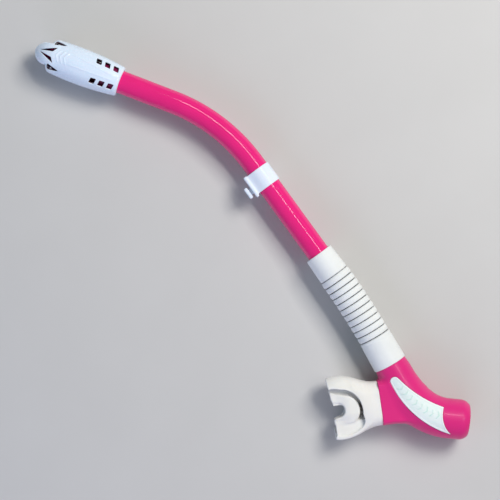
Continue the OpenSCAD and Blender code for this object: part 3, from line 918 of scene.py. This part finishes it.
def body_field(x, y, z):
    """Hollow horn with a spigot for the hose, one for the mouthpiece, and an open drum for the purge valve."""
    skin = body_skin(x, y, z)
    # beds for the two side panels
    bed = np.maximum(LEAF(x, y) - 0.12, 3.5 - np.abs(z))
    f = cut(skin, np.maximum(bed, -(duct_skin(x, y, z) + PANEL_BED)), 0.12)
    # air space, with its three openings
    run, off = duct_run(x, y)
    r = np.hypot(off, z)
    u, v = to_port(x, y)
    port_air = np.maximum(box2(v, z, *PORT_AIR), -6 - u)
    air = np.minimum(skin + DUCT_WALL + 0.9, port_air)
    air = np.minimum(air, np.maximum(r - PURGE_R, DRUM_START + 2 - run))
    f = cut(f, air, 0.5)
    # spigots for the hose and the mouthpiece
    hose_spigot = corner(r - HOSE_SPIGOT_R, slab(run, -16, 4), 0.5)
    port_spigot = corner(box2(v, z, PORT_W / 2 - SPIGOT_STEP, PORT_H / 2 - SPIGOT_STEP, 8.5), slab(u, -3, 8), 0.5)
    f = np.minimum(f, np.minimum(hose_spigot, port_spigot))
    f = cut(f, np.maximum(r - 8.6, run - 14), 0.3)
    return cut(f, port_air, 0.3)


def make_lower_body():
    low, high = (-17, -32, -17.6), (90, 46, 17.6)
    body = field_object("lower_body", body_field, low, high, BODY_CELL, BODY_PLACE)
    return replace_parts(body, "lower_body")


# -------------------- side panels

CHEVRON_AT, CHEVRON_PITCH, CHEVRON_COUNT = 19.5, 5.3, 9


def panel_field(x, y, z):
    """Soft grip panel: a raised rim, and a sunk field with a row of raised chevrons."""
    skin = duct_skin(x, y, z)
    edge = LEAF(x, y)
    run, off = duct_run(x, y)
    rise = 0.5 - 0.3 * smooth_step(-edge, 1.0, 1.5) + 0.26 * panel_marks(run, off, edge)
    top = corner(edge + 0.02, skin - rise, 0.3)
    return np.maximum(np.maximum(top, -(skin + PANEL_BED - 0.05)), 4 - z)


def panel_marks(run, off, edge):
    """1 on the chevrons, which follow the middle of the leaf."""
    middle = 4.2 - 0.23 * (run - 12) + 0.0021 * (run - 12) ** 2
    nearest = np.clip(np.round((run - CHEVRON_AT) / CHEVRON_PITCH), 0, CHEVRON_COUNT - 1)
    along = run - CHEVRON_AT - CHEVRON_PITCH * nearest
    lean = np.abs(off + middle)
    stroke = np.abs(along + 0.55 * lean - 1.0) - 0.55
    stroke = np.maximum(stroke, lean - 3.0)
    return (1 - smooth_step(stroke, -0.25, 0.25)) * smooth_step(-edge, 1.6, 2.0)


def panel_tint(x, y, z):
    """Strength of the tint in the sunk field and on the chevrons."""
    run, off = duct_run(x, y)
    edge = LEAF(x, y)
    return 0.4 * smooth_step(-edge, 1.1, 1.5) + 0.6 * panel_marks(run, off, edge)


def make_panels():
    """The panel on the side that faces the camera, and its mirror image on the far side."""
    low, high = (7.5, -10.5, 4.2), (75, 27, 18.2)
    tint_and_shade = [("tint_and_shade", panel_tint)]
    front = field_object("side_panel_front", panel_field, low, high, PANEL_CELL, BODY_PLACE, tint_and_shade)
    mesh = front.data.copy()
    mesh.name = "side_panel_back"
    mesh.transform(Matrix.Diagonal((1, 1, -1, 1)))
    mesh.flip_normals()
    back = added("side_panel_back", mesh)
    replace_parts(front, "side_panel_front")
    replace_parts(back, "side_panel_back")
    return front, back


# -------------------- mouthpiece

# in the port's place: u runs out of the port, v lies across it, toward the purge
DISH_AT = 33.0
FLANGE_SIZE = 27.5, 25.9
DISH_SIZE = 25.6, 23.7
PLATFORM_U, PLATFORM_V, PLATFORM_R = 29.7, 1.5, 12.7
NOTCH_U, NOTCH_V, NOTCH_R = 35.0, 0.5, 6.1
TIP_AT = 39.0
AIR_HOLE = 7.5, 3.6, 3.2


def rolled(u, v, z):
    """Soft silicone sits a little rolled on its port, most on the purge's side."""
    roll = np.radians(4 + 11 * smooth_step(v, -12, 12)) * smooth_step(u, 2, 15)
    c, s = np.cos(roll), np.sin(roll)
    return v * c - z * s, z * c + v * s


def bowl(u, v, z, a, b):
    """Distance to a bowl with its middle at DISH_AT and half axes a and b, steeper on the purge's side."""
    steep = smooth_step(v, 2, 14)
    b = b - 0.9 * steep + 0.9 * smooth_step(-v, 0, 12)
    high = 18 + 7 * steep
    scaled = np.sqrt(((u - DISH_AT) / a) ** 2 + (v / b) ** 2 + (z / high) ** 2)
    slope = np.sqrt(((u - DISH_AT) / a ** 2) ** 2 + (v / b ** 2) ** 2 + (z / high ** 2) ** 2)
    return scaled * (scaled - 1) / np.maximum(slope, 1e-3)


def horseshoe(u, v):
    """Plan of the bite platform before it is notched. Its arm on the hose's side slants outward."""
    slant = np.where(v < PLATFORM_V, 0.35 * np.clip(u - PLATFORM_U, 0, None), 0)
    plan = np.hypot(np.minimum(u - PLATFORM_U, 0), v - PLATFORM_V) - PLATFORM_R - slant
    return meet(plan, v - 12.0, 2.0)


def bite(u, v, lift, tip, shell):
    """Boss round the air hole, the notched bite platform on it, and the shelves at the platform's sides."""
    boss = np.maximum(box2(v, lift, 11.4, 5.8, 4), slab(u, 6, 29))
    crown = 10.6 - 3.0 * smooth_step(u, 24, 38) - 2.2 * smooth_step(v, 4, 12)
    platform = corner(horseshoe(u, v), lift - crown, 1.4)
    platform = meet(platform, u - tip + 0.6, 1.5)
    across = v - NOTCH_V
    notch = np.where(u > NOTCH_U, np.abs(across) - NOTCH_R - 0.3 * (u - NOTCH_U),
                     np.hypot(u - NOTCH_U, across) - NOTCH_R)
    inside = cut(join(boss, platform, 1.0), notch, 1.2)
    # at the sides the platform runs on to the dish's wall
    high = np.where(v > 0, 6.4, 6.9)
    shelf = np.maximum.reduce([lift - high, 7.0 - np.abs(v - 3.5), shell + 0.8, 12 - u, u - tip + 1.2])
    return join(inside, shelf, 2.0)


def mouth_field(u, v, z):
    """Oval neck that flares into a dished lip flange, with a horseshoe bite platform in the dish."""
    flat_v, flat_lift = v, np.abs(z)
    v, z = rolled(u, v, z)
    neck = np.maximum(box2(v, z, PORT_W / 2, PORT_H / 2, 9.5), u - 17)
    shell = bowl(u, v, z, *FLANGE_SIZE)
    outer = join(neck, shell, 8.5)
    # faint folds where the neck bends into the flange
    outer = outer - 0.05 * np.sin(u * 2.1) * smooth_step(u, 5, 8) * (1 - smooth_step(u, 13, 17))
    f = cut(outer, np.maximum(bowl(u, v, z, *DISH_SIZE), 9.5 - u), 0.8)
    rim = 13.3 - 1.6 * smooth_step(u, 30, 40)
    f = meet(f, np.abs(z) - rim, 1.1)
    # the arm on the hose's side is longer, and both are cut on a slant
    tip = TIP_AT + 0.12 * np.clip(-flat_v - 6, 0, None)
    f = meet(f, u - tip, 0.8)
    f = join(f, bite(u, flat_v, flat_lift, tip, shell), 0.8 + 1.7 * smooth_step(flat_v, 5, 13))
    # air hole and the socket on the port's spigot
    f = cut(f, np.maximum(box2(flat_v, flat_lift, *AIR_HOLE), u - 34), 0.5)
    step = SPIGOT_STEP - SOCKET_GAP
    f = cut(f, np.maximum(box2(v, z, PORT_W / 2 - step, PORT_H / 2 - step, 8.4), u - 8.1), 0.3)
    return corner(f, 0.06 - u, 0.4)


def mouth_shade(u, v, z):
    """1 deep in the gap round the bite platform, where a dark colour is painted as shade."""
    gap = smooth_step(horseshoe(u, v), -0.7, 0.2) * smooth_step(v, -9, -2) * (1 - smooth_step(v, 8, 11))
    deep = 1 - smooth_step(np.abs(z), 5.5, 10)
    roll_v, roll_z = rolled(u, v, z)
    within = 1 - smooth_step(bowl(u, roll_v, roll_z, *DISH_SIZE), 0.3, 0.9)
    return gap * deep * within


def make_mouthpiece():
    low, high = (-0.6, -28.5, -17.6), (41, 28.5, 17.6)
    # the gap round the bite platform is marked for painted shade
    shade = [("tint_and_shade", mouth_shade)]
    mouth = field_object("mouthpiece", mouth_field, low, high, MOUTH_CELL, PORT_PLACE, shade)
    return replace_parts(mouth, "mouthpiece")


# -------------------- purge cover

DRUM_DIR = np.array(joint("purge_open")["axis"])
COVER_R = PURGE_R - 0.08
GRILLE_PITCH = 4.1


def drum_end():
    """Centre of the drum's end, in millimetres in the row frame."""
    cover = node_points("purge_cover")
    side = np.cross(UP, DRUM_DIR)
    across = cover @ side
    return DRUM_DIR * ((cover @ DRUM_DIR).max() + 0.8) + side * (across.min() + across.max()) / 2


def cover_field(x, y, z):
    """Slotted, slightly domed grille with a retaining ring behind it."""
    r = np.hypot(y, z)
    plate = corner(r - COVER_R, np.maximum(x + 0.7 + 0.008 * r * r, -2.7 - x), 0.5)
    ring = corner(np.maximum(r - COVER_R, 11.6 - r), slab(x, -10.9, -1.4), 0.2)
    # five slots, the longest in the middle
    n = np.clip(np.round(y / GRILLE_PITCH), -2, 2)
    slots = box2(y - GRILLE_PITCH * n, z, 1.0, 8.4 - 1.5 * np.abs(n), 1.0)
    return cut(np.minimum(plate, ring), np.maximum(slots, -5 - x), 0.35)


def make_purge_cover():
    low, high = (-11.5, -13.2, -13.2), (0.2, 13.2, 13.2)
    cover = field_object("purge_cover", cover_field, low, high, COVER_CELL, placed(drum_end(), DRUM_DIR))
    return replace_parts(cover, "purge_cover")


# -------------------- pieces

pink_gloss = plastic("barrel_pink", (0.82, 0.016, 0.20), (0.74, 0.012, 0.18), (0.95, 0.09, 0.32),
                     rough=0.10, coat=0.35, glow=0.05, grain=0.03, drawn=True)
pink_satin = plastic("body_pink", (0.72, 0.022, 0.20), (0.67, 0.018, 0.19), (0.85, 0.08, 0.3),
                     rough=0.38, coat=0.2, glow=0.06, grain=0.12)
# painted shade: the valve parts deep inside the cap are coloured a dark pink in place of their shade
pink_valve_painted_shade = plastic("valve_pink", (0.17, 0.004, 0.05), (0.13, 0.003, 0.04), (0.3, 0.02, 0.1),
                     rough=0.4, coat=0.15, glow=0.0, grain=0.25)
# the last colour is painted shade: dark maroon on the cap's inner faces and window walls
white_gloss = plastic("cap_white", (0.75, 0.85, 0.97), (0.68, 0.80, 0.96), (0.9, 0.95, 0.98),
                      rough=0.26, coat=0.35, glow=0.1, grain=0.1, inner_shade=(0.16, 0.03, 0.06))
white_keeper = plastic("keeper_white", (0.78, 0.84, 0.93), (0.73, 0.80, 0.91), (0.90, 0.93, 0.96),
                       rough=0.3, coat=0.3, glow=0.1, grain=0.1)
white_valve = plastic("valve_white", (0.84, 0.84, 0.82), (0.78, 0.78, 0.76), (0.92, 0.92, 0.9),
                      rough=0.45, coat=0.1, glow=0.1, grain=0.3)
foam = plastic("float_foam", (0.82, 0.82, 0.78), (0.75, 0.75, 0.7), (0.9, 0.9, 0.86),
               rough=0.7, coat=0.0, glow=0.1, grain=0.8)
steel = plastic("pin_steel", (0.6, 0.61, 0.62), (0.5, 0.51, 0.52), (0.75, 0.75, 0.75),
                rough=0.3, coat=0.0, glow=0.0, grain=0.3)
steel.set(Metallic=1.0)
# the hose's near black marked colour is painted shade in the grooves between its ribs
hose_white = silicone("hose_silicone", (0.80, 0.82, 0.81), (0.75, 0.77, 0.76),
                      rough=0.5, glow=0.12, tint_and_shade=(0.06, 0.06, 0.07))
# the mouthpiece's dark marked colour is painted shade deep in the gap round its bite platform
mouth_white = silicone("mouth_silicone", (0.84, 0.83, 0.79), (0.80, 0.785, 0.73),
                       rough=0.42, glow=0.2, dirt=(0.5, 0.44, 0.33), tint_and_shade=(0.10, 0.085, 0.07))
panel_white = silicone("panel_white", (0.87, 0.90, 0.89), (0.83, 0.87, 0.86),
                       rough=0.45, glow=0.12, dirt=(0.55, 0.56, 0.55), tint_and_shade=(0.60, 0.80, 0.72))
clear = silicone("clear_silicone", (0.78, 0.8, 0.81), (0.72, 0.74, 0.75), rough=0.35, glow=0.3)
clear.set(Transmission_Weight=0.35)

# the remodelled parts
finished(make_barrel(), pink_gloss, "barrel")
finished(make_cap(), white_gloss, "barrel")
finished(make_keeper(), white_keeper, "keeper")
hose = coated(make_hose(), hose_white)
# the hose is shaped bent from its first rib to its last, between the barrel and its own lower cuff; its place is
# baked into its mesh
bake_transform(hose)
finished(make_lower_body(), pink_satin, "lower")
for panel in make_panels():
    finished(panel, panel_white, "lower")
finished(make_mouthpiece(), mouth_white, "lower")
finished(make_purge_cover(), pink_satin, "lower")


def dressed(name, paint, bevel):
    """A CAD node kept as it is, with edges rounded by bevel in millimetres, and a finish."""
    node = frame["nodes"][name]
    node.data.materials.clear()
    node.data.materials.append(paint.mat)
    edge = node.modifiers.new("edges", "BEVEL")
    edge.width = bevel * MM
    edge.segments = 3
    edge.limit_method = "ANGLE"
    edge.angle_limit = math.radians(35)
    edge.harden_normals = False
    for polygon in node.data.polygons:
        polygon.use_smooth = True
    smooth = node.modifiers.new("shade", "WEIGHTED_NORMAL")
    smooth.keep_sharp = False


for paint, bevel, names in (
    (pink_valve_painted_shade, 0.15, ("valve_housing", "splash_guard", "flap_arm")),
    (white_valve, 0.15, ("purge_seat",)),
    (clear, 0.12, ("tube_gasket", "seat_gasket", "purge_diaphragm")),
    (clear, 0.15, ("flap_seal",)),
    (foam, 0.3, ("float",)),
    (steel, 0.1, ("flap_pin",)),
):
    for name in names:
        dressed(name, paint, bevel)

# -------------------- floor, light and camera

FLOOR_Z = min(CAD_BOX[0][2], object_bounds()[0][2]) - 0.0001
# directions of the photograph's up and right in the row frame
PHOTO_UP = np.array([0.809, -0.588, 0])
PHOTO_RIGHT = np.array([-0.588, -0.809, 0])
LOOK_AT = np.array([-0.04235, 0.04335, 0.0])
CAMERA_HEIGHT = 1.15
VIEW_WIDTH = 0.4058
SENSOR = 36
FLOOR_HALF = 4.0


def make_floor():
    """Plain pale floor just under the snorkel."""
    bm = bmesh.new()
    for x, y in ((-1, -1), (1, -1), (1, 1), (-1, 1)):
        bm.verts.new((x * FLOOR_HALF, y * FLOOR_HALF, FLOOR_Z))
    bm.faces.new(bm.verts)
    mesh = bpy.data.meshes.new("floor")
    bm.to_mesh(mesh)
    bm.free()
    paint = Paint("floor")
    mottle = paint.noise(scale=14, detail=3, rough=0.5)
    paint.set(Base_Color=paint.mix(mottle, (0.56, 0.55, 0.53), (0.60, 0.59, 0.57)))
    paint.set(Roughness=0.65)
    mesh.materials.append(paint.mat)
    added("floor", mesh)


def make_lamp(name, right, up, height, size, watts, colour, long=None, mirrored=True):
    """Area lamp aimed at the snorkel's middle, placed by the camera's own directions.

    A long lamp lies parallel to the barrel. One that isn't mirrored gives no highlights.
    """
    data = bpy.data.lights.new(name, "AREA")
    data.energy = watts
    data.color = colour
    data.shape = "RECTANGLE"
    data.size = size
    data.size_y = long or size
    lamp = added(name, data)
    at = LOOK_AT + PHOTO_RIGHT * right + PHOTO_UP * up + UP * height
    back = (at - LOOK_AT) / np.linalg.norm(at - LOOK_AT)
    side = np.cross(np.array([1.0, 0, 0]), back)
    side /= np.linalg.norm(side)
    lamp.matrix_world = matrix(side, np.cross(back, side), back, at)
    lamp.visible_glossy = mirrored


def make_world():
    """Weak, even light from all sides."""
    world = bpy.data.worlds.new("studio")
    world.use_nodes = True
    background = world.node_tree.nodes["Background"]
    background.inputs["Color"].default_value = (0.86, 0.92, 1.0, 1)
    background.inputs["Strength"].default_value = 0.22
    bpy.context.scene.world = world


def make_camera():
    """Looks straight down, turned as the photograph is."""
    data = bpy.data.cameras.new("camera")
    data.sensor_width = SENSOR
    data.lens = SENSOR * CAMERA_HEIGHT / VIEW_WIDTH
    data.clip_start = 0.01
    camera = added("camera", data)
    camera.matrix_world = matrix(PHOTO_RIGHT, PHOTO_UP, UP, LOOK_AT + UP * CAMERA_HEIGHT)
    bpy.context.scene.camera = camera


make_floor()
make_lamp("key", right=0.66, up=0.58, height=1.05, size=0.5, watts=13.5, colour=(1.0, 0.985, 0.96),
          mirrored=False)
make_lamp("strip", right=0.53, up=0.39, height=1.2, size=0.11, watts=4.6, colour=(1.0, 1.0, 1.0), long=1.3)
make_lamp("sky", right=-0.95, up=-0.5, height=0.6, size=1.0, watts=3.0, colour=(0.3, 0.56, 1.0), mirrored=False)
make_lamp("low", right=-0.25, up=-1.2, height=0.4, size=0.9, watts=6.0, colour=(0.85, 0.78, 1.0), mirrored=False)
make_world()
make_camera()
bpy.context.scene.view_settings.view_transform = "Standard"
